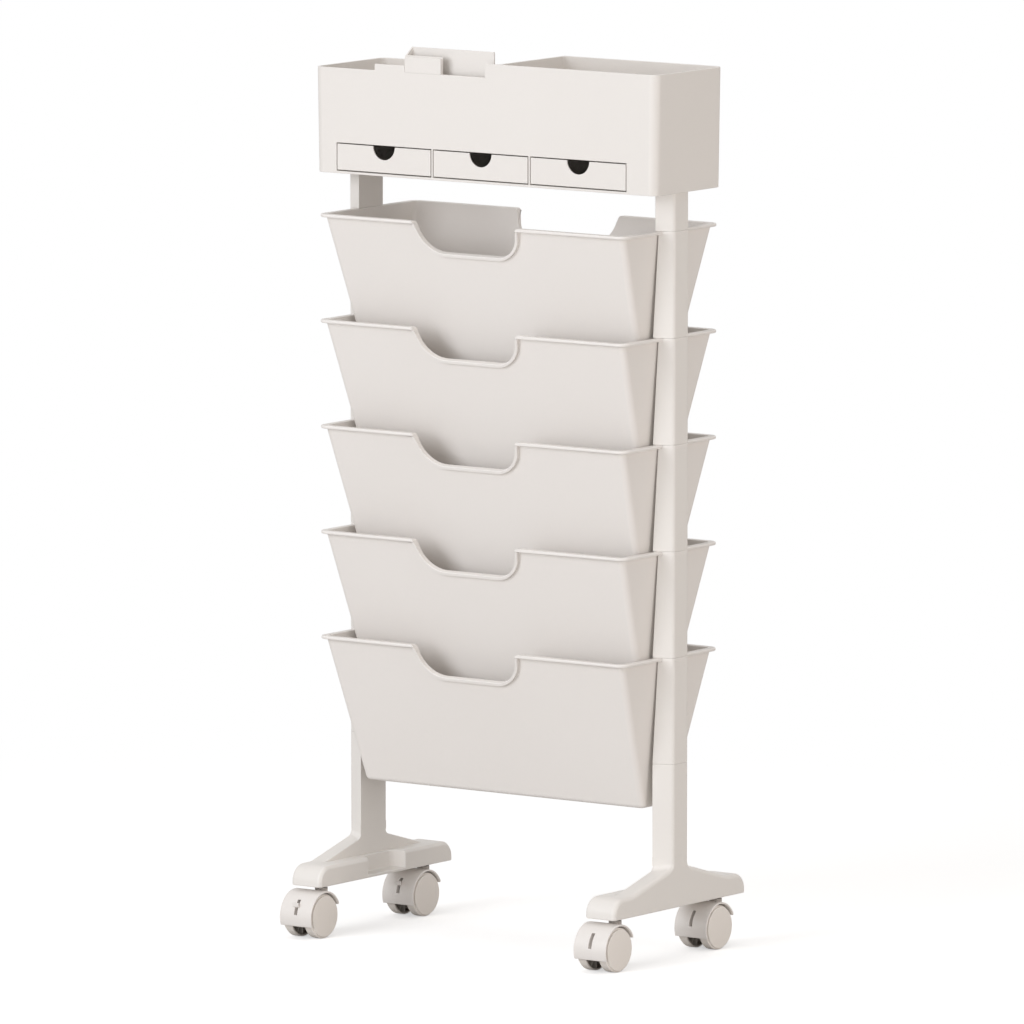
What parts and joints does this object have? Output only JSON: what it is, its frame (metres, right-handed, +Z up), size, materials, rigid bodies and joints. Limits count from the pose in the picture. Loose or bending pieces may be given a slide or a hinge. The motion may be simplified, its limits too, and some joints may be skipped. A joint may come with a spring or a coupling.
{
  "type": "mobile bookcase",
  "caption": "Tall mobile bookcase with nested book bins hung between slim posts, a drawer organizer on top and swivel casters under long feet.",
  "frame": {"origin": "on the floor, under the middle of the bookcase's box", "axes": "+Z up, +X to the right seen from the front, and the drawers open towards -Y"},
  "size_m": [0.4508, 0.2635, 0.9661],
  "materials": {
    "shell_plastic": "fine satin",
    "organizer_plastic": "fine satin",
    "bin_plastic": "fine satin",
    "caster_plastic": "fine satin",
    "wheel_plastic": "smooth satin",
    "steel": "zinc plated"
  },
  "bodies": {
    "bookcase": {"left_foot": "shell_plastic", "left_leg": "shell_plastic", "left_post_segment_1": "shell_plastic", "left_post_segment_2": "shell_plastic", "left_post_segment_3": "shell_plastic", "left_post_segment_4": "shell_plastic", "left_post_segment_5": "shell_plastic", "left_top_tube": "shell_plastic", "right_foot": "shell_plastic", "right_leg": "shell_plastic", "right_post_segment_1": "shell_plastic", "right_post_segment_2": "shell_plastic", "right_post_segment_3": "shell_plastic", "right_post_segment_4": "shell_plastic", "right_post_segment_5": "shell_plastic", "right_top_tube": "shell_plastic", "book_bin_1": "bin_plastic", "book_bin_2": "bin_plastic", "book_bin_3": "bin_plastic", "book_bin_4": "bin_plastic", "book_bin_5": "bin_plastic", "organizer_body": "organizer_plastic", "phone_pocket": "organizer_plastic", "front_left_caster_stem": "steel", "front_right_caster_stem": "steel", "rear_left_caster_stem": "steel", "rear_right_caster_stem": "steel"},
    "left_drawer": {"left_drawer": "organizer_plastic"},
    "middle_drawer": {"middle_drawer": "organizer_plastic"},
    "right_drawer": {"right_drawer": "organizer_plastic"},
    "front_left_caster": {"front_left_caster_hood": "caster_plastic", "front_left_caster_axle": "steel"},
    "front_left_outer_wheel": {"front_left_outer_wheel": "wheel_plastic"},
    "front_left_inner_wheel": {"front_left_inner_wheel": "wheel_plastic"},
    "front_left_brake_lever": {"front_left_brake_lever": "caster_plastic"},
    "front_right_caster": {"front_right_caster_hood": "caster_plastic", "front_right_caster_axle": "steel"},
    "front_right_outer_wheel": {"front_right_outer_wheel": "wheel_plastic"},
    "front_right_inner_wheel": {"front_right_inner_wheel": "wheel_plastic"},
    "rear_left_caster": {"rear_left_caster_hood": "caster_plastic", "rear_left_caster_axle": "steel"},
    "rear_left_outer_wheel": {"rear_left_outer_wheel": "wheel_plastic"},
    "rear_left_inner_wheel": {"rear_left_inner_wheel": "wheel_plastic"},
    "rear_left_brake_lever": {"rear_left_brake_lever": "caster_plastic"},
    "rear_right_caster": {"rear_right_caster_hood": "caster_plastic", "rear_right_caster_axle": "steel"},
    "rear_right_outer_wheel": {"rear_right_outer_wheel": "wheel_plastic"},
    "rear_right_inner_wheel": {"rear_right_inner_wheel": "wheel_plastic"}
  },
  "joints": [
    {"name": "left_drawer_slide", "type": "slide", "parent": "bookcase", "child": "left_drawer", "axis": [0, -1, 0], "range_m": [0, 0.09]},
    {"name": "middle_drawer_slide", "type": "slide", "parent": "bookcase", "child": "middle_drawer", "axis": [0, -1, 0], "range_m": [0, 0.09]},
    {"name": "right_drawer_slide", "type": "slide", "parent": "bookcase", "child": "right_drawer", "axis": [0, -1, 0], "range_m": [0, 0.09]},
    {"name": "front_left_caster_swivel", "type": "hinge", "parent": "bookcase", "child": "front_left_caster", "pos_m": [-0.19475, -0.08425, 0.056], "axis": [0, 0, 1], "continuous": true},
    {"name": "front_left_outer_wheel_spin", "type": "hinge", "parent": "front_left_caster", "child": "front_left_outer_wheel", "pos_m": [-0.19475, -0.10425, 0.024], "axis": [1, 0, 0], "continuous": true},
    {"name": "front_left_inner_wheel_spin", "type": "hinge", "parent": "front_left_caster", "child": "front_left_inner_wheel", "pos_m": [-0.19475, -0.10425, 0.024], "axis": [1, 0, 0], "continuous": true},
    {"name": "front_left_brake_lever_rock", "type": "hinge", "parent": "front_left_caster", "child": "front_left_brake_lever", "pos_m": [-0.19475, -0.11925, 0.033], "axis": [1, 0, 0], "range_deg": [0, 14]},
    {"name": "front_right_caster_swivel", "type": "hinge", "parent": "bookcase", "child": "front_right_caster", "pos_m": [0.19475, -0.08425, 0.056], "axis": [0, 0, 1], "continuous": true},
    {"name": "front_right_outer_wheel_spin", "type": "hinge", "parent": "front_right_caster", "child": "front_right_outer_wheel", "pos_m": [0.19475, -0.10425, 0.024], "axis": [1, 0, 0], "continuous": true},
    {"name": "front_right_inner_wheel_spin", "type": "hinge", "parent": "front_right_caster", "child": "front_right_inner_wheel", "pos_m": [0.19475, -0.10425, 0.024], "axis": [1, 0, 0], "continuous": true},
    {"name": "rear_left_caster_swivel", "type": "hinge", "parent": "bookcase", "child": "rear_left_caster", "pos_m": [-0.19475, 0.10275, 0.056], "axis": [0, 0, 1], "continuous": true},
    {"name": "rear_left_outer_wheel_spin", "type": "hinge", "parent": "rear_left_caster", "child": "rear_left_outer_wheel", "pos_m": [-0.19475, 0.08275, 0.024], "axis": [1, 0, 0], "continuous": true},
    {"name": "rear_left_inner_wheel_spin", "type": "hinge", "parent": "rear_left_caster", "child": "rear_left_inner_wheel", "pos_m": [-0.19475, 0.08275, 0.024], "axis": [1, 0, 0], "continuous": true},
    {"name": "rear_left_brake_lever_rock", "type": "hinge", "parent": "rear_left_caster", "child": "rear_left_brake_lever", "pos_m": [-0.19475, 0.06775, 0.033], "axis": [1, 0, 0], "range_deg": [0, 14]},
    {"name": "rear_right_caster_swivel", "type": "hinge", "parent": "bookcase", "child": "rear_right_caster", "pos_m": [0.19475, 0.10275, 0.056], "axis": [0, 0, 1], "continuous": true},
    {"name": "rear_right_outer_wheel_spin", "type": "hinge", "parent": "rear_right_caster", "child": "rear_right_outer_wheel", "pos_m": [0.19475, 0.08275, 0.024], "axis": [1, 0, 0], "continuous": true},
    {"name": "rear_right_inner_wheel_spin", "type": "hinge", "parent": "rear_right_caster", "child": "rear_right_inner_wheel", "pos_m": [0.19475, 0.08275, 0.024], "axis": [1, 0, 0], "continuous": true}
  ]
}
